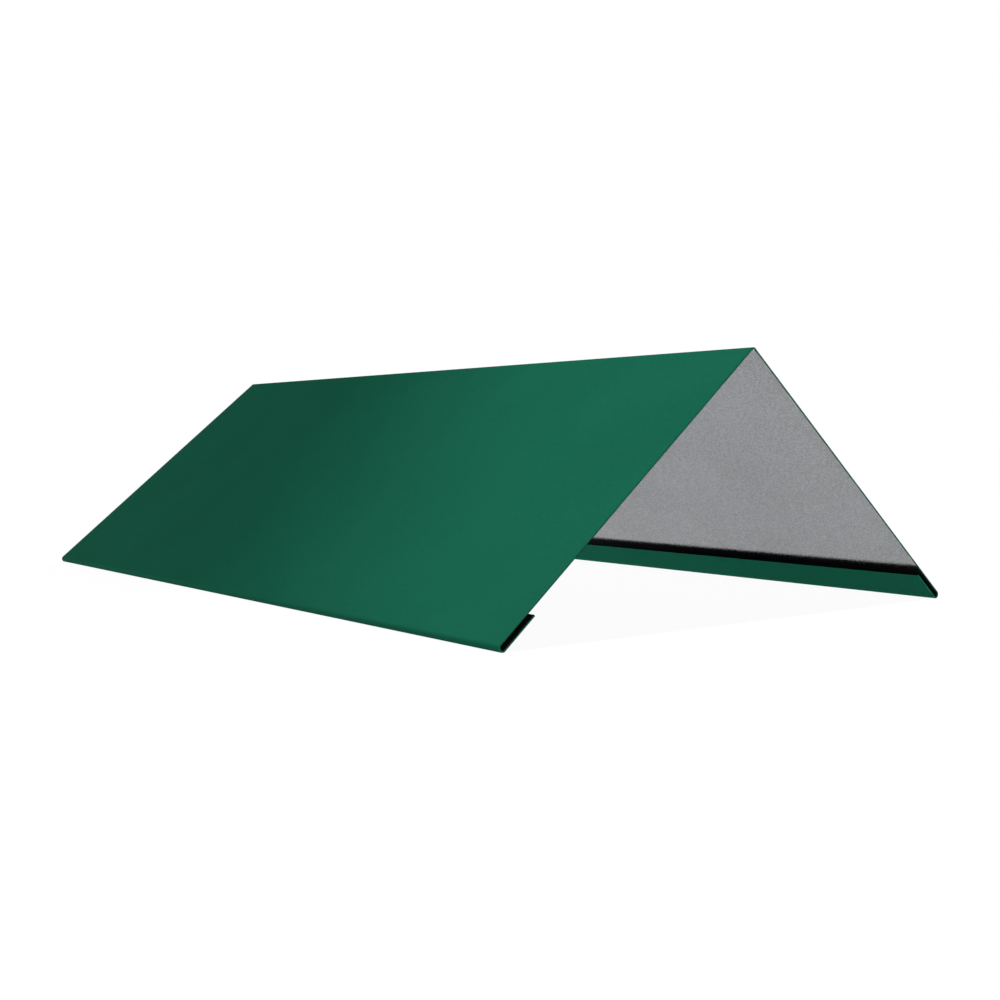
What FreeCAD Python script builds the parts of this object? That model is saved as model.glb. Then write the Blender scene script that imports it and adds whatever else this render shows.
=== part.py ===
import FreeCAD
import Part
import Sketcher

import math
import os

# A roof ridge cap folded from one sheet of painted steel. Two equal slopes meet
# at the ridge, and each eave edge is turned under by 180 degrees into an open
# hem. The cap stands on its two hems. The ridge runs along X, the slopes fall
# away to -Y and +Y, and Z is up. The origin lies on the floor, below the middle
# of the ridge. Lengths are in millimetres and angles in degrees.
DIMENSIONS = {
    "cap_length": (382.0, "length along the ridge"),
    "slope_width": (150.0, "outer face, from the sharp ridge corner to the end of the hem"),
    "roof_pitch": (40.0, "fall of each slope below the horizontal"),
    "sheet_thickness": (0.7, "sheet, with its coatings"),
    "ridge_bend_radius": (0.8, "inside radius of the ridge fold"),
    "hem_return": (16.9, "hem, from its rounded end to its cut edge"),
    "hem_gap": (1.8, "clear gap inside the hem, twice its inside radius"),
}

# The outer radius of each fold, and how much of a slope the ridge fold takes up.
RIDGE_OUTER = "(Dimensions.ridge_bend_radius + Dimensions.sheet_thickness)"
HEM_OUTER = "(Dimensions.hem_gap / 2 + Dimensions.sheet_thickness)"
RIDGE_SETBACK = RIDGE_OUTER + " * tan(Dimensions.roof_pitch)"

# The two ends of an edge, and the centre of a rounded one.
START, END, CENTRE = 1, 2, 3

# The point on the floor below the ridge, and the upright line that rises from it.
FLOOR_POINT = (-1, 1)
UPRIGHT = -2

# The edges of half the folded section, in order round its outline.
EDGES = [
    "ridge_outside",
    "slope_outside",
    "hem_outside",
    "return_outside",
    "cut_edge",
    "return_inside",
    "hem_inside",
    "slope_inside",
    "ridge_inside",
    "middle",
]
EDGE = {name: number for number, name in enumerate(EDGES)}


def add_dimensions(doc):
    """Names each size, with what it measures beside it."""
    cells = doc.addObject("Spreadsheet::Sheet", "Dimensions")
    for row, (name, (value, meaning)) in enumerate(DIMENSIONS.items(), start=1):
        cells.set(f"A{row}", name)
        cells.set(f"B{row}", str(value))
        cells.setAlias(f"B{row}", name)
        cells.set(f"C{row}", meaning)
    doc.recompute()
    return cells


def origin_plane(body, role):
    """The body's own origin plane with this role."""
    return next(plane for plane in body.Origin.OriginFeatures if plane.Role == role)


def arc(centre, radius, first, last):
    """An arc in the section's plane, anticlockwise between two angles in degrees."""
    circle = Part.Circle(centre, FreeCAD.Vector(0, 0, 1), radius)
    return Part.ArcOfCircle(circle, math.radians(first), math.radians(last))


def draw_half_section(sketch, size):
    """Draws the section of one slope, from the ridge's middle to the hem's cut edge."""
    pitch = math.radians(size.roof_pitch)
    down_slope = FreeCAD.Vector(math.cos(pitch), -math.sin(pitch), 0)
    outward = FreeCAD.Vector(math.sin(pitch), math.cos(pitch), 0)
    outward_angle = 90 - size.roof_pitch

    ridge_inner = size.ridge_bend_radius
    ridge_outer = ridge_inner + size.sheet_thickness
    hem_inner = size.hem_gap / 2
    hem_outer = hem_inner + size.sheet_thickness
    hem_distance = size.slope_width - hem_outer
    return_length = size.hem_return - hem_outer

    # The sharp corner is where the two outer faces would meet above the fold.
    corner_height = hem_distance * math.sin(pitch) + hem_outer * (1 + math.cos(pitch))
    corner = FreeCAD.Vector(0, corner_height, 0)
    ridge_centre = corner - FreeCAD.Vector(0, ridge_outer / math.cos(pitch), 0)
    hem_centre = corner + down_slope * hem_distance - outward * hem_outer
    hem_side = hem_centre - down_slope * return_length

    line = Part.LineSegment
    up = FreeCAD.Vector(0, 1, 0)
    shapes = {
        "ridge_outside": arc(ridge_centre, ridge_outer, outward_angle, 90),
        "slope_outside": line(ridge_centre + outward * ridge_outer, hem_centre + outward * hem_outer),
        "hem_outside": arc(hem_centre, hem_outer, outward_angle - 180, outward_angle),
        "return_outside": line(hem_centre - outward * hem_outer, hem_side - outward * hem_outer),
        "cut_edge": line(hem_side - outward * hem_outer, hem_side - outward * hem_inner),
        "return_inside": line(hem_side - outward * hem_inner, hem_centre - outward * hem_inner),
        "hem_inside": arc(hem_centre, hem_inner, outward_angle - 180, outward_angle),
        "slope_inside": line(hem_centre + outward * hem_inner, ridge_centre + outward * ridge_inner),
        "ridge_inside": arc(ridge_centre, ridge_inner, outward_angle, 90),
        "middle": line(ridge_centre + up * ridge_inner, ridge_centre + up * ridge_outer),
    }
    for name in EDGES:
        sketch.addGeometry(shapes[name], False)


def constrain_half_section(sketch):
    """Joins the section's edges, sets their directions and ties them to the named sizes."""

    def add(kind, *values):
        return sketch.addConstraint(Sketcher.Constraint(kind, *values))

    def join(kind, first, first_end, second, second_end):
        add(kind, EDGE[first], first_end, EDGE[second], second_end)

    join("Tangent", "ridge_outside", START, "slope_outside", START)
    join("Tangent", "slope_outside", END, "hem_outside", END)
    join("Tangent", "hem_outside", START, "return_outside", START)
    join("Coincident", "return_outside", END, "cut_edge", START)
    join("Coincident", "cut_edge", END, "return_inside", START)
    join("Tangent", "return_inside", END, "hem_inside", START)
    join("Tangent", "hem_inside", END, "slope_inside", START)
    join("Tangent", "slope_inside", END, "ridge_inside", START)
    join("Coincident", "ridge_inside", END, "middle", START)
    join("Coincident", "middle", END, "ridge_outside", END)
    join("Coincident", "ridge_outside", CENTRE, "ridge_inside", CENTRE)
    join("Coincident", "hem_outside", CENTRE, "hem_inside", CENTRE)

    add("PointOnObject", EDGE["ridge_outside"], CENTRE, UPRIGHT)
    add("PointOnObject", EDGE["ridge_outside"], END, UPRIGHT)
    add("PointOnObject", EDGE["ridge_inside"], END, UPRIGHT)
    add("Parallel", EDGE["slope_outside"], EDGE["slope_inside"])
    add("Parallel", EDGE["slope_outside"], EDGE["return_outside"])
    add("Perpendicular", EDGE["return_outside"], EDGE["cut_edge"])
    add("Perpendicular", EDGE["cut_edge"], EDGE["return_inside"])

    def bind(name, formula, kind, *values):
        number = add(kind, *values)
        sketch.renameConstraint(number, name)
        sketch.setExpression(f"Constraints.{name}", formula)

    size = sketch.Document.Dimensions
    ridge_outer = size.ridge_bend_radius + size.sheet_thickness
    hem_outer = size.hem_gap / 2 + size.sheet_thickness
    setback = ridge_outer * math.tan(math.radians(size.roof_pitch))
    bind("thickness", "Dimensions.sheet_thickness",
         "Distance", EDGE["cut_edge"], size.sheet_thickness)
    bind("ridge_radius", "Dimensions.ridge_bend_radius",
         "Radius", EDGE["ridge_inside"], size.ridge_bend_radius)
    bind("hem_radius", "Dimensions.hem_gap / 2",
         "Radius", EDGE["hem_inside"], size.hem_gap / 2)
    bind("slope_length", f"Dimensions.slope_width - {HEM_OUTER} - {RIDGE_SETBACK}",
         "Distance", EDGE["slope_outside"], size.slope_width - hem_outer - setback)
    bind("return_length", f"Dimensions.hem_return - {HEM_OUTER}",
         "Distance", EDGE["return_outside"], size.hem_return - hem_outer)
    bind("slope_fall", "-Dimensions.roof_pitch",
         "Angle", EDGE["slope_outside"], math.radians(-size.roof_pitch))
    bind("standing_height", HEM_OUTER,
         "DistanceY", *FLOOR_POINT, EDGE["hem_outside"], CENTRE, hem_outer)


def build_ridge_cap(doc, size):
    """Half the section is run along the ridge, and the other half is its mirror."""
    body = doc.addObject("PartDesign::Body", "RidgeCap")
    body.Label = "ridge_cap"

    section = body.newObject("Sketcher::SketchObject", "FoldedSection")
    section.AttachmentSupport = (origin_plane(body, "YZ_Plane"), [""])
    section.MapMode = "FlatFace"
    draw_half_section(section, size)
    constrain_half_section(section)
    doc.recompute()

    slope = body.newObject("PartDesign::Pad", "Slope")
    slope.Profile = section
    slope.Midplane = True
    slope.setExpression("Length", "Dimensions.cap_length")
    doc.recompute()

    both_slopes = body.newObject("PartDesign::Mirrored", "BothSlopes")
    both_slopes.Originals = [slope]
    both_slopes.MirrorPlane = (origin_plane(body, "XZ_Plane"), [""])
    both_slopes.Refine = True
    body.Tip = both_slopes
    doc.recompute()
    return body


def check(doc, pieces):
    """Stops if any step failed, or if a piece isn't one valid closed solid."""
    for step in doc.Objects:
        if "Invalid" in step.State or "Error" in step.State:
            raise RuntimeError(f"{step.Label} failed: {step.State}")
    for piece in pieces:
        shape = piece.Shape
        if shape.isNull() or not shape.isValid() or len(shape.Solids) != 1:
            raise RuntimeError(f"{piece.Label} isn't one valid solid")


def export(pieces):
    """Writes each piece to a file that is named after it."""
    os.makedirs("parts", exist_ok=True)
    for piece in pieces:
        piece.Shape.exportStep(f"parts/{piece.Label}.step")
        box = piece.Shape.BoundBox
        print(f"{piece.Label}: {box.XLength:.2f} x {box.YLength:.2f} x {box.ZLength:.2f} mm,"
              f" lowest {box.ZMin:.4f}, {piece.Shape.Volume:.1f} mm3, {len(piece.Shape.Faces)} faces")


doc = FreeCAD.newDocument("RidgeCapModel")
dimensions = add_dimensions(doc)
pieces = [build_ridge_cap(doc, dimensions)]
check(doc, pieces)
export(pieces)
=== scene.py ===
import math

import bpy
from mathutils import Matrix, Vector


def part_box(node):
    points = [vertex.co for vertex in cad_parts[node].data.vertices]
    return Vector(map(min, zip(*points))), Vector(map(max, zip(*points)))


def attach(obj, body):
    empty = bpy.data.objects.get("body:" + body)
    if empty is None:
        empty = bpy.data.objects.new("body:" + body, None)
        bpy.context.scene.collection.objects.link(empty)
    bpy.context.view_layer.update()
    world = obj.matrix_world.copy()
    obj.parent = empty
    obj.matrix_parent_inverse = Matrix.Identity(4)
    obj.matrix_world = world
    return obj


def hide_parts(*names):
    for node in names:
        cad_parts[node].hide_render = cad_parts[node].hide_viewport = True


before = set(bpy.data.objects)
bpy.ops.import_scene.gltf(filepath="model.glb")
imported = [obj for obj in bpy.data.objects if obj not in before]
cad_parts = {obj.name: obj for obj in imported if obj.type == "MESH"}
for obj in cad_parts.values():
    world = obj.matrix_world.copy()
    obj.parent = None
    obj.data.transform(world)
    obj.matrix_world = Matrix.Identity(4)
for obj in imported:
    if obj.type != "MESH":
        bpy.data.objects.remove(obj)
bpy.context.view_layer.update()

# The camera stands in front of the cap's open near end, at about two thirds of
# the ridge's height. It looks along the front slope and in under the ridge,
# tilted a little down, with no shift and everything in focus.
CAMERA_PLACE = (0.50259, -0.35534, 0.06453)
CAMERA_HEADING = math.radians(52.212)
CAMERA_TILT_DOWN = math.radians(2.589)
CAMERA_LENS = 46.95
CAMERA_SENSOR = 36.0
LEVEL_VIEW = math.radians(90)

collection = bpy.context.scene.collection
camera_settings = bpy.data.cameras.new("camera")
camera_settings.lens = CAMERA_LENS
camera_settings.sensor_width = CAMERA_SENSOR
camera = bpy.data.objects.new("camera", camera_settings)
camera.location = CAMERA_PLACE
camera.rotation_euler = (LEVEL_VIEW - CAMERA_TILT_DOWN, 0, CAMERA_HEADING)
collection.objects.link(camera)
bpy.context.scene.camera = camera
bpy.context.scene.view_settings.view_transform = "Standard"

# The ridge cap is one sheet of coil-coated steel: green paint outside, a grey
# backing coat inside. Its edges are turned under in a folding machine into two
# open hems, and then it is folded once along the middle to make the ridge.
cap_low, cap_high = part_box("ridge_cap")
CAP_LENGTH = cap_high.x - cap_low.x
SLOPE_WIDTH = 0.150
ROOF_PITCH = math.radians(40)
SHEET_THICKNESS = 0.0007
RIDGE_BEND_RADIUS = 0.0008
HEM_RETURN = 0.0169
HEM_GAP = 0.0018
HEM_FOLD_ANGLE = math.pi

HALF_SHEET = SHEET_THICKNESS / 2
RIDGE_ARC = (RIDGE_BEND_RADIUS + HALF_SHEET) * ROOF_PITCH
HEM_ARC = (HEM_GAP / 2 + HALF_SHEET) * HEM_FOLD_ANGLE
HEM_OUTER = HEM_GAP / 2 + SHEET_THICKNESS
HEM_LIP = HEM_RETURN - HEM_OUTER
RIDGE_SETBACK = (RIDGE_BEND_RADIUS + SHEET_THICKNESS) * math.tan(ROOF_PITCH)
HEM_START = RIDGE_ARC + SLOPE_WIDTH - HEM_OUTER - RIDGE_SETBACK

# The flat sheet is divided into columns, close together only where it is folded.
# A shoulder is the narrow column that keeps a fold's shading off the flat beside it.
RIDGE_STEPS = 12
SLOPE_STEPS = 6
HEM_STEPS = 40
LIP_STEPS = 2
LENGTH_STEPS = 16
SHOULDER = 0.0004


def put(tree, kind, inputs=None, **settings):
    """Adds a node with its settings. Its inputs are given by name or number."""
    made = tree.nodes.new(kind)
    for name, value in settings.items():
        setattr(made, name, value)
    for name, value in (inputs or {}).items():
        if isinstance(value, bpy.types.NodeSocket):
            tree.links.new(value, made.inputs[name])
        else:
            made.inputs[name].default_value = value
    return made


def reckon(tree, operation, *values):
    """Works out one number from others."""
    made = put(tree, "ShaderNodeMath", dict(enumerate(values)), operation=operation)
    return made.outputs[0]


def split(tree, place):
    """The X, Y and Z of a place or a direction."""
    return put(tree, "ShaderNodeSeparateXYZ", {0: place}).outputs


def join(tree, x=0.0, y=0.0, z=0.0):
    """A place, a size or a move from its X, Y and Z."""
    return put(tree, "ShaderNodeCombineXYZ", {"X": x, "Y": y, "Z": z}).outputs[0]


def metal_place(tree):
    """Where each point of the metal is at this step."""
    return put(tree, "GeometryNodeInputPosition").outputs[0]


def add_sizes(tree, names):
    """Gives a tree its geometry in and out, and one named number for each size."""
    tree.interface.new_socket("Geometry", in_out="INPUT", socket_type="NodeSocketGeometry")
    for name in names:
        tree.interface.new_socket(name, in_out="INPUT", socket_type="NodeSocketFloat")
    tree.interface.new_socket("Geometry", in_out="OUTPUT", socket_type="NodeSocketGeometry")
    return tree.nodes.new("NodeGroupInput").outputs, tree.nodes.new("NodeGroupOutput").inputs


def make_fold_tree():
    """The folding machine: it bends both halves of the sheet down round a bar."""
    tree = bpy.data.node_groups.new("fold_both_sides", "GeometryNodeTree")
    given, result = add_sizes(tree, ("Fold Start", "Fold Angle", "Fold Radius"))
    start, angle, radius = given["Fold Start"], given["Fold Angle"], given["Fold Radius"]

    place = split(tree, metal_place(tree))
    distance = reckon(tree, "ABSOLUTE", place["Y"])
    side = reckon(tree, "SIGN", place["Y"])
    past = reckon(tree, "SUBTRACT", distance, start)
    arc = reckon(tree, "MULTIPLY", radius, angle)
    share = reckon(tree, "DIVIDE", past, arc)
    share = reckon(tree, "MINIMUM", reckon(tree, "MAXIMUM", share, 0.0), 1.0)
    turn = reckon(tree, "MULTIPLY", share, angle)
    beyond = reckon(tree, "MAXIMUM", reckon(tree, "SUBTRACT", past, arc), 0.0)
    before = reckon(tree, "MINIMUM", distance, start)
    reach = reckon(tree, "ADD", radius, place["Z"])
    sine = reckon(tree, "SINE", turn)
    cosine = reckon(tree, "COSINE", turn)

    out = reckon(tree, "MULTIPLY_ADD", reach, sine, before)
    out = reckon(tree, "MULTIPLY_ADD", beyond, cosine, out)
    up = reckon(tree, "SUBTRACT", reckon(tree, "MULTIPLY", reach, cosine), radius)
    up = reckon(tree, "SUBTRACT", up, reckon(tree, "MULTIPLY", beyond, sine))
    folded = join(tree, place["X"], reckon(tree, "MULTIPLY", out, side), up)
    moved = put(tree, "GeometryNodeSetPosition",
                {"Geometry": given["Geometry"], "Position": folded})
    tree.links.new(moved.outputs[0], result["Geometry"])
    return tree


def keep_with_metal(tree, sheet, name, value, kind, domain):
    """Stores a value on the sheet under a name, so that it moves with the metal."""
    return put(tree, "GeometryNodeStoreNamedAttribute",
               {"Geometry": sheet, "Name": name, "Value": value},
               data_type=kind, domain=domain).outputs[0]


CAP_SIZES = {
    "Cap Length": CAP_LENGTH,
    "Slope Width": SLOPE_WIDTH,
    "Roof Pitch": ROOF_PITCH,
    "Sheet Thickness": SHEET_THICKNESS,
    "Ridge Bend Radius": RIDGE_BEND_RADIUS,
    "Hem Return": HEM_RETURN,
    "Hem Gap": HEM_GAP,
    "Ridge Height": cap_high.z,
}

# A face belongs to a side of the flat sheet when its normal points up or down this much.
FACES_UP = 0.5


def make_cap_tree(edge_finish, outside_finish, inside_finish):
    """Cuts the flat sheet, folds its hems and its ridge, and sets it on the floor."""
    tree = bpy.data.node_groups.new("fold_ridge_cap", "GeometryNodeTree")
    given, result = add_sizes(tree, CAP_SIZES)
    half_sheet = reckon(tree, "MULTIPLY", given["Sheet Thickness"], 0.5)
    half_gap = reckon(tree, "MULTIPLY", given["Hem Gap"], 0.5)
    ridge_radius = reckon(tree, "ADD", given["Ridge Bend Radius"], half_sheet)
    ridge_outer = reckon(tree, "ADD", given["Ridge Bend Radius"], given["Sheet Thickness"])
    ridge_arc = reckon(tree, "MULTIPLY", ridge_radius, given["Roof Pitch"])
    hem_radius = reckon(tree, "ADD", half_gap, half_sheet)
    hem_outer = reckon(tree, "ADD", half_gap, given["Sheet Thickness"])
    hem_arc = reckon(tree, "MULTIPLY", hem_radius, HEM_FOLD_ANGLE)
    hem_lip = reckon(tree, "SUBTRACT", given["Hem Return"], hem_outer)
    setback = reckon(tree, "MULTIPLY", ridge_outer, reckon(tree, "TANGENT", given["Roof Pitch"]))
    slope = reckon(tree, "SUBTRACT", given["Slope Width"], hem_outer)
    slope = reckon(tree, "SUBTRACT", slope, setback)

    stretches = (
        (RIDGE_STEPS, ridge_arc),
        (1, SHOULDER),
        (SLOPE_STEPS, reckon(tree, "SUBTRACT", slope, 2 * SHOULDER)),
        (1, SHOULDER),
        (HEM_STEPS, hem_arc),
        (1, SHOULDER),
        (LIP_STEPS, reckon(tree, "SUBTRACT", hem_lip, SHOULDER)),
    )
    half_columns = sum(steps for steps, _ in stretches)
    sheet = put(tree, "GeometryNodeMeshCube", {
        "Size": join(tree, given["Cap Length"], 2.0 * half_columns, given["Sheet Thickness"]),
        "Vertices X": LENGTH_STEPS + 1,
        "Vertices Y": 2 * half_columns + 1,
        "Vertices Z": 2,
    }).outputs["Mesh"]

    # The columns start one metre wide each, and move to their places across the sheet.
    place = split(tree, metal_place(tree))
    column = reckon(tree, "ROUND", reckon(tree, "ABSOLUTE", place["Y"]))
    distance = 0.0
    first = 0
    for steps, width in stretches:
        last = first + steps
        span = put(tree, "ShaderNodeMapRange", {
            "Value": column,
            "From Min": float(first),
            "From Max": float(last),
            "To Max": width,
        }).outputs["Result"]
        distance = reckon(tree, "ADD", distance, span)
        first = last
    across = reckon(tree, "MULTIPLY", distance, reckon(tree, "SIGN", place["Y"]))
    flat = join(tree, place["X"], across, place["Z"])
    sheet = put(tree, "GeometryNodeSetPosition", {"Geometry": sheet, "Position": flat}).outputs[0]

    # The place on the flat sheet and the side of it stay with the metal when it is folded.
    sheet = keep_with_metal(tree, sheet, "flat_place", metal_place(tree), "FLOAT_VECTOR", "POINT")
    facing = split(tree, put(tree, "GeometryNodeInputNormal").outputs[0])["Z"]
    sheet = keep_with_metal(tree, sheet, "sheet_side", facing, "FLOAT", "FACE")

    # The hems are folded first, and then the ridge.
    fold_tree = make_fold_tree()
    for start, angle, radius in (
        (reckon(tree, "ADD", ridge_arc, slope), HEM_FOLD_ANGLE, hem_radius),
        (0.0, given["Roof Pitch"], ridge_radius),
    ):
        sheet = put(tree, "GeometryNodeGroup", {
            "Geometry": sheet,
            "Fold Start": start,
            "Fold Angle": angle,
            "Fold Radius": radius,
        }, node_tree=fold_tree).outputs[0]

    lift = join(tree, z=reckon(tree, "SUBTRACT", given["Ridge Height"], half_sheet))
    sheet = put(tree, "GeometryNodeSetPosition", {"Geometry": sheet, "Offset": lift}).outputs[0]
    sheet = put(tree, "GeometryNodeSetShadeSmooth", {"Geometry": sheet}).outputs[0]
    sheet = put(tree, "GeometryNodeRealizeInstances", {"Geometry": sheet}).outputs[0]
    side = put(tree, "GeometryNodeInputNamedAttribute",
               {"Name": "sheet_side"}, data_type="FLOAT").outputs[0]
    for finish, selection in (
        (edge_finish, reckon(tree, "LESS_THAN", reckon(tree, "ABSOLUTE", side), FACES_UP)),
        (outside_finish, reckon(tree, "GREATER_THAN", side, FACES_UP)),
        (inside_finish, reckon(tree, "LESS_THAN", side, -FACES_UP)),
    ):
        sheet = put(tree, "GeometryNodeSetMaterial",
                    {"Geometry": sheet, "Selection": selection, "Material": finish}).outputs[0]
    tree.links.new(sheet, result["Geometry"])
    return tree


def start_finish(name):
    """A new finish: its tree, its shader and the place on the flat sheet."""
    finish = bpy.data.materials.new(name)
    finish.use_nodes = True
    tree = finish.node_tree
    shader = tree.nodes["Principled BSDF"]
    place = put(tree, "ShaderNodeAttribute", attribute_name="flat_place").outputs["Vector"]
    return finish, tree, shader, place


def grain(tree, place, size, detail=2.0):
    """Soft random grain whose spots are about this size, in metres."""
    return put(tree, "ShaderNodeTexNoise",
               {"Vector": place, "Scale": 1 / size, "Detail": detail}).outputs["Fac"]


def spread(tree, value, old, new, way="LINEAR"):
    """Stretches the old range of a number to a new one, and holds it there."""
    return put(tree, "ShaderNodeMapRange", {
        "Value": value,
        "From Min": old[0],
        "From Max": old[1],
        "To Min": new[0],
        "To Max": new[1],
    }, interpolation_type=way).outputs["Result"]


def from_middle(tree, place):
    """How far a place on the flat sheet is from the sheet's middle line."""
    return reckon(tree, "ABSOLUTE", split(tree, place)["Y"])


def blend(tree, factor, first, second):
    """Goes from one colour to another."""
    made = put(tree, "ShaderNodeMix", {"Factor": factor}, data_type="RGBA")
    for name, colour in (("A", first), ("B", second)):
        socket = [s for s in made.inputs if s.name == name and s.type == "RGBA"][0]
        if isinstance(colour, bpy.types.NodeSocket):
            tree.links.new(colour, socket)
        else:
            socket.default_value = (*colour, 1)
    return [s for s in made.outputs if s.type == "RGBA"][0]


def dress(tree, shader, colour, roughness, gloss):
    """Gives a shader its colour and roughness, and the strength of its gloss."""
    tree.links.new(colour, shader.inputs["Base Color"])
    tree.links.new(roughness, shader.inputs["Roughness"])
    shader.inputs["Specular IOR Level"].default_value = gloss


def raise_grain(tree, shader, height, strength, depth):
    """Lets a grain stand up from the surface a little."""
    bump = put(tree, "ShaderNodeBump", {"Strength": strength, "Distance": depth, "Height": height})
    tree.links.new(bump.outputs[0], shader.inputs["Normal"])


# Most of a grain's values lie in this range.
GRAIN_RANGE = (0.3, 0.7)

PAINT_GREEN = (0.0090, 0.123, 0.0718)
PAINT_GREEN_LIGHT = (0.0112, 0.145, 0.0847)
# Painted shade along the ridge's fold, whose top turns away from the light.
PAINT_GREEN_RIDGE_SHADE = (0.0070, 0.105, 0.060)
CLOUD_SIZE = 0.05
CLOUD_SHARE = 0.4
PEEL_SIZE = 0.0009
PEEL_SHARE = 0.6
PEEL_STRENGTH = 0.25
PEEL_DEPTH = 0.00002
PAINT_ROUGHNESS = (0.60, 0.72)
PAINT_GLOSS = 0.005


def make_green_paint():
    """Matt polyester paint, rolled on in the coil line: a fine peel and a faint cloudiness. It
    is darker along the ridge's fold, which is painted shade."""
    finish, tree, shader, place = start_finish("green_paint")
    clouds = grain(tree, place, CLOUD_SIZE)
    peel = grain(tree, place, PEEL_SIZE, detail=1.0)
    cloud_tone = spread(tree, clouds, GRAIN_RANGE, (0.0, CLOUD_SHARE))
    peel_tone = spread(tree, peel, GRAIN_RANGE, (0.0, PEEL_SHARE))
    tone = reckon(tree, "ADD", cloud_tone, peel_tone)
    colour = blend(tree, tone, PAINT_GREEN, PAINT_GREEN_LIGHT)
    # The ridge's fold gets painted shade.
    ridge = spread(tree, from_middle(tree, place), (RIDGE_ARC / 2, RIDGE_ARC), (1.0, 0.0))
    colour = blend(tree, ridge, colour, PAINT_GREEN_RIDGE_SHADE)
    roughness = spread(tree, peel, GRAIN_RANGE, PAINT_ROUGHNESS)
    dress(tree, shader, colour, roughness, PAINT_GLOSS)
    raise_grain(tree, shader, peel, PEEL_STRENGTH, PEEL_DEPTH)
    return finish


BACKING_GREY = (0.343, 0.349, 0.360)
BACKING_GREY_LIGHT = (0.778, 0.792, 0.817)
SPECKLE_SIZE = 0.00055
SPECKLE_RANGE = (0.05, 0.95)
SPECKLE_SHARE = 0.9
SPECKLE_STRENGTH = 0.5
SPECKLE_DEPTH = 0.00003
BACKING_CLOUD_SHARE = 0.1
BACKING_ROUGHNESS = (0.65, 0.80)
BACKING_GLOSS = 0.005
# Painted shade: the hem and a strip past its lip are coloured near-black for the lip's shadow.
BACKING_GREY_SHADE = (0.045, 0.0455, 0.047)
SHADE_PAST_LIP = 0.0049
SHADE_START = HEM_START - HEM_LIP - SHADE_PAST_LIP
SHADE_FADE = 0.0035
SHADE_RAGGED = 0.0022
RAGGED_SIZE = 0.0006


def make_backing_coat():
    """The thin grey coat on the back of the sheet, matt and speckled. It is painted black in the
    hem and for a little way past the hem's lip, with a ragged border: painted shade of the hem and
    of the lip's shadow."""
    finish, tree, shader, place = start_finish("backing_coat")
    speckle = grain(tree, place, SPECKLE_SIZE, detail=0.0)
    clouds = grain(tree, place, CLOUD_SIZE)
    speckle_tone = spread(tree, speckle, SPECKLE_RANGE, (0.0, SPECKLE_SHARE))
    cloud_tone = spread(tree, clouds, GRAIN_RANGE, (0.0, BACKING_CLOUD_SHARE))
    tone = reckon(tree, "ADD", speckle_tone, cloud_tone)
    colour = blend(tree, tone, BACKING_GREY, BACKING_GREY_LIGHT)
    ragged = spread(tree, grain(tree, place, RAGGED_SIZE), GRAIN_RANGE,
                    (-SHADE_RAGGED / 2, SHADE_RAGGED / 2))
    across = reckon(tree, "ADD", from_middle(tree, place), ragged)
    # Painted shade of the hem and of the lip's shadow.
    painted_shade = spread(tree, across, (SHADE_START, SHADE_START + SHADE_FADE), (0.0, 1.0),
                    way="SMOOTHSTEP")
    colour = blend(tree, painted_shade, colour, BACKING_GREY_SHADE)
    roughness = spread(tree, speckle, GRAIN_RANGE, BACKING_ROUGHNESS)
    dress(tree, shader, colour, roughness, BACKING_GLOSS)
    raise_grain(tree, shader, speckle, SPECKLE_STRENGTH, SPECKLE_DEPTH)
    return finish


EDGE_GREEN = (0.0090, 0.135, 0.078)
EDGE_GREY_GREEN = (0.0170, 0.160, 0.102)
# Painted shade on the inner part of each cut edge and on the edge of each hem's lip.
EDGE_BLACK_SHADE = (0.005, 0.007, 0.006)
SHEAR_MARK_SIZE = 0.0004
SHEAR_MARK_RANGE = (0.4, 0.7)

# Heights in the sheet are counted from its middle, and the painted side is up.
PAINT_DRAWN_TO = -0.00013
PAINT_DRAWN_FADE = 0.00008
PAINT_DRAWN_RAGGED = 0.0001

LIP_EDGE_PLACE = HEM_START + HEM_ARC + HEM_LIP
LIP_EDGE_FADE = 0.00008
EDGE_ROUGHNESS = (0.50, 0.70)
EDGE_GLOSS = 0.01


def make_cut_edge():
    """The sheared edge of the sheet: the outside paint is drawn over it a little past the
    middle, in streaks. The rest of it is black, which is painted shade, and so is the whole edge
    of each hem's lip, deep in the hem's shade."""
    finish, tree, shader, place = start_finish("cut_edge")
    streaks = grain(tree, place, SHEAR_MARK_SIZE)
    streak_tone = spread(tree, streaks, SHEAR_MARK_RANGE, (0.0, 1.0))
    colour = blend(tree, streak_tone, EDGE_GREEN, EDGE_GREY_GREEN)
    # The edge of each hem's lip gets painted shade.
    lip = spread(tree, from_middle(tree, place),
                 (LIP_EDGE_PLACE - 2 * LIP_EDGE_FADE, LIP_EDGE_PLACE - LIP_EDGE_FADE), (0.0, 1.0))
    ragged = spread(tree, streaks, GRAIN_RANGE, (-PAINT_DRAWN_RAGGED / 2, PAINT_DRAWN_RAGGED / 2))
    height = reckon(tree, "ADD", split(tree, place)["Z"], ragged)
    # Below the drawn paint, the edge gets painted shade.
    edge_shade = spread(tree, height, (PAINT_DRAWN_TO - PAINT_DRAWN_FADE, PAINT_DRAWN_TO), (1.0, 0.0))
    colour = blend(tree, reckon(tree, "MAXIMUM", lip, edge_shade), colour, EDGE_BLACK_SHADE)
    roughness = spread(tree, streaks, GRAIN_RANGE, EDGE_ROUGHNESS)
    dress(tree, shader, colour, roughness, EDGE_GLOSS)
    return finish


# The sheared edges are broken a little, and only those stay sharp in the shading.
EDGE_ROUNDING = 0.00004
EDGE_ROUNDING_STEPS = 2
ROUNDED_PAST = math.radians(40)
SHARP_PAST = math.radians(20)

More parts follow.
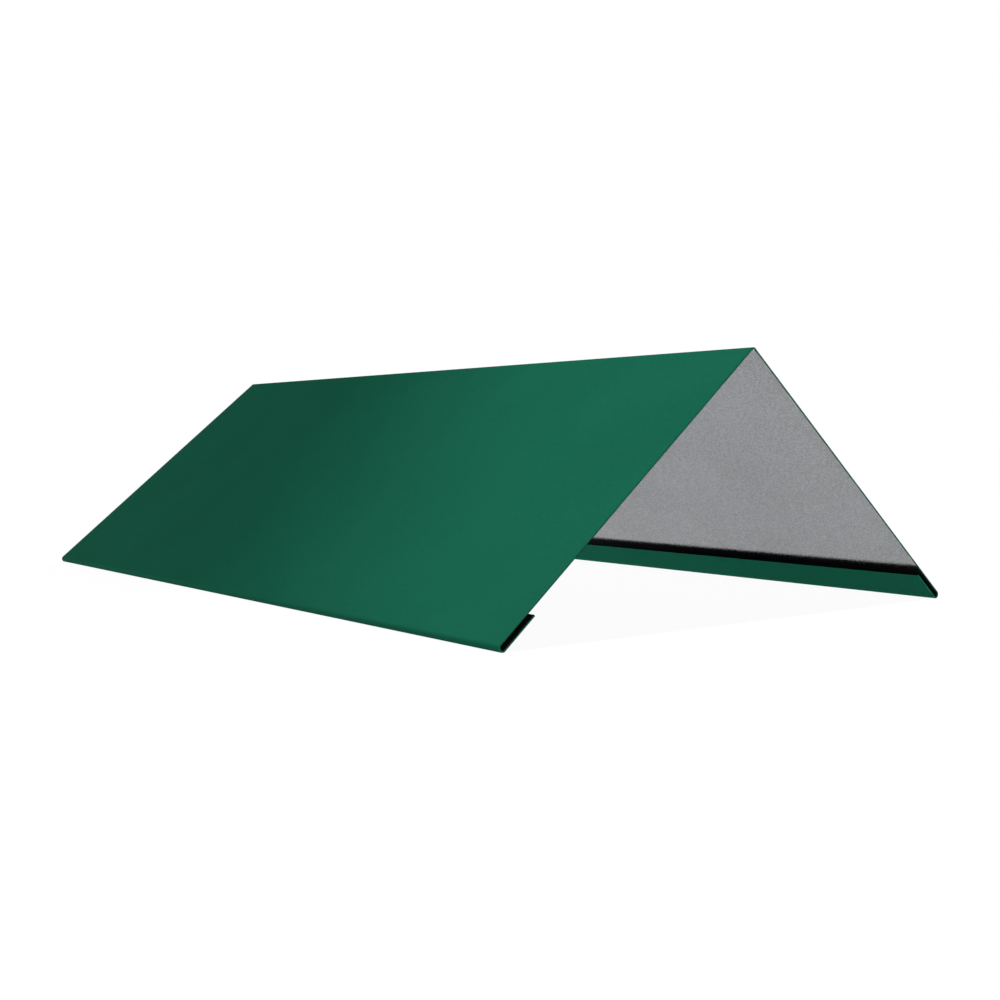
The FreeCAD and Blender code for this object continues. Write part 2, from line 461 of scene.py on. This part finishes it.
cap = bpy.data.objects.new("folded_ridge_cap", bpy.data.meshes.new("folded_ridge_cap"))
collection.objects.link(cap)
folding = cap.modifiers.new("folding", "NODES")
folding.node_group = make_cap_tree(make_cut_edge(), make_green_paint(), make_backing_coat())
for item in folding.node_group.interface.items_tree:
    if item.name in CAP_SIZES:
        folding[item.identifier] = CAP_SIZES[item.name]
rounding = cap.modifiers.new("rounding", "BEVEL")
rounding.width = EDGE_ROUNDING
rounding.segments = EDGE_ROUNDING_STEPS
rounding.limit_method = "ANGLE"
rounding.angle_limit = ROUNDED_PAST

depsgraph = bpy.context.evaluated_depsgraph_get()
folded = bpy.data.meshes.new_from_object(
    cap.evaluated_get(depsgraph), preserve_all_data_layers=True, depsgraph=depsgraph)
cap.modifiers.clear()
cap.data = folded
folded.name = "folded_ridge_cap"
folded.set_sharp_from_angle(angle=SHARP_PAST)

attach(cap, "root")
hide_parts("ridge_cap")

# The floor is a wide white table top that light from below comes through. It
# shows white, and keeps a faint soft shadow where the cap stands on it.
FLOOR_RADIUS = 18.0
FLOOR_CORNERS = 96
FLOOR_DROP = 0.00005
FLOOR_GLOW = 0.95
FLOOR_COLOUR = (0.09, 0.09, 0.09, 1)


def floor_corner(number):
    """One corner of the table top, counted round its rim."""
    turn = math.tau * number / FLOOR_CORNERS
    return (FLOOR_RADIUS * math.cos(turn), FLOOR_RADIUS * math.sin(turn), -FLOOR_DROP)


floor_mesh = bpy.data.meshes.new("floor")
rim = range(FLOOR_CORNERS)
floor_mesh.from_pydata([floor_corner(number) for number in rim], [], [list(rim)])
floor = bpy.data.objects.new("floor", floor_mesh)
collection.objects.link(floor)


def seen_directly(tree):
    """1 for what the camera, a reflection or glass shows, 0 for the light on the cap."""
    path = put(tree, "ShaderNodeLightPath").outputs
    seen = reckon(tree, "MAXIMUM", path["Is Camera Ray"], path["Is Glossy Ray"])
    return reckon(tree, "MAXIMUM", seen, path["Is Transmission Ray"])


white_top = bpy.data.materials.new("white_table_top")
white_top.use_nodes = True
tree = white_top.node_tree
tree.nodes.clear()
body = put(tree, "ShaderNodeBsdfDiffuse", {"Color": FLOOR_COLOUR})
glow_level = reckon(tree, "MULTIPLY", seen_directly(tree), FLOOR_GLOW)
glow = put(tree, "ShaderNodeEmission", {"Strength": glow_level})
both = put(tree, "ShaderNodeAddShader", {0: body.outputs[0], 1: glow.outputs[0]})
put(tree, "ShaderNodeOutputMaterial", {"Surface": both.outputs[0]})
floor_mesh.materials.append(white_top)
floor.visible_shadow = False

# The studio round the cap: white walls as high as the pictures show, and above
# them a dim grey ceiling, which is what the slopes reflect.
WALL_TOP = math.radians(21.5)
WALL_FADE = math.radians(3)
CEILING_LEVEL = 0.12
WHITE = (1, 1, 1, 1)

world = bpy.data.worlds.new("studio")
bpy.context.scene.world = world
world.use_nodes = True
tree = world.node_tree
tree.nodes.clear()
height = split(tree, put(tree, "ShaderNodeTexCoord").outputs["Generated"])["Z"]
wall = spread(tree, height, (math.sin(WALL_TOP), math.sin(WALL_TOP + WALL_FADE)), (1.0, 0.0))
walls = reckon(tree, "MULTIPLY", wall, seen_directly(tree))
ceiling = reckon(tree, "MULTIPLY", reckon(tree, "GREATER_THAN", height, 0.0), CEILING_LEVEL)
strength = reckon(tree, "MAXIMUM", walls, ceiling)
background = put(tree, "ShaderNodeBackground", {"Color": WHITE, "Strength": strength})
put(tree, "ShaderNodeOutputWorld", {"Surface": background.outputs[0]})

# The lamps: a key high above whose soft edge falls across the front slope, a low
# fill from the front left, one behind for the back slope, one for the near end,
# and two strips under the table top that light the inside, one for each slope.

# A sun of this strength, square to a matt surface, shows its colour as it is written.
FULL_LIGHT = math.pi


def add_sun(name, towards, level, softness):
    """A soft lamp far away, in the direction from the cap, at a share of full light."""
    lamp = bpy.data.lights.new(name, "SUN")
    lamp.energy = FULL_LIGHT * level
    lamp.angle = math.radians(softness)
    holder = bpy.data.objects.new(name, lamp)
    holder.rotation_euler = Vector(towards).to_track_quat("Z", "Y").to_euler()
    collection.objects.link(holder)


add_sun("fill_front_left", towards=(-0.75, -0.61, 0.24), level=0.62, softness=25)
add_sun("lamp_behind", towards=(-0.2, 0.75, 0.60), level=0.50, softness=25)
add_sun("lamp_near_end", towards=(1.0, 0.0, 0.0), level=0.60, softness=8)

STRIP_LENGTH = 0.48
STRIP_WIDTH = 0.1055
STRIP_FROM_MIDDLE = 0.08725
STRIP_DEPTH = 0.05
STRIP_TILT = math.radians(14)
STRIP_SPREAD = math.radians(25)
FACING_UP = math.pi


def add_strip(name, side, level):
    """A lamp under the table top, below one slope, whose beam leans in towards the ridge."""
    lamp = bpy.data.lights.new(name, "AREA")
    lamp.shape = "RECTANGLE"
    lamp.size = STRIP_LENGTH
    lamp.size_y = STRIP_WIDTH
    lamp.spread = STRIP_SPREAD
    lamp.energy = FULL_LIGHT * level * STRIP_LENGTH * STRIP_WIDTH
    holder = bpy.data.objects.new(name, lamp)
    holder.location = (0, side * STRIP_FROM_MIDDLE, -STRIP_DEPTH)
    holder.rotation_euler = (FACING_UP + side * STRIP_TILT, 0, 0)
    collection.objects.link(holder)


add_strip("strip_below_back", side=1, level=0.78)
add_strip("strip_below_front", side=-1, level=0.20)

KEY_PLACE = Vector((0.18, -0.1, 2.8))
KEY_AIM = Vector((3.0, 1.52, 0.05))
KEY_LEVEL = 0.61
KEY_MEASURED_AT = Vector((0.15, -0.05, 0.06))
KEY_HALF_CONE = math.radians(54.05)
KEY_SOFT_EDGE = 0.144
KEY_RADIUS = 0.03

key = bpy.data.lights.new("key_above", "SPOT")
key.spot_size = 2 * KEY_HALF_CONE
key.spot_blend = KEY_SOFT_EDGE
key.shadow_soft_size = KEY_RADIUS
key_distance_squared = (KEY_PLACE - KEY_MEASURED_AT).length_squared
key.energy = 4 * math.pi * FULL_LIGHT * KEY_LEVEL * key_distance_squared
key_holder = bpy.data.objects.new("key_above", key)
key_holder.location = KEY_PLACE
key_holder.rotation_euler = (KEY_PLACE - KEY_AIM).to_track_quat("Z", "Y").to_euler()
collection.objects.link(key_holder)
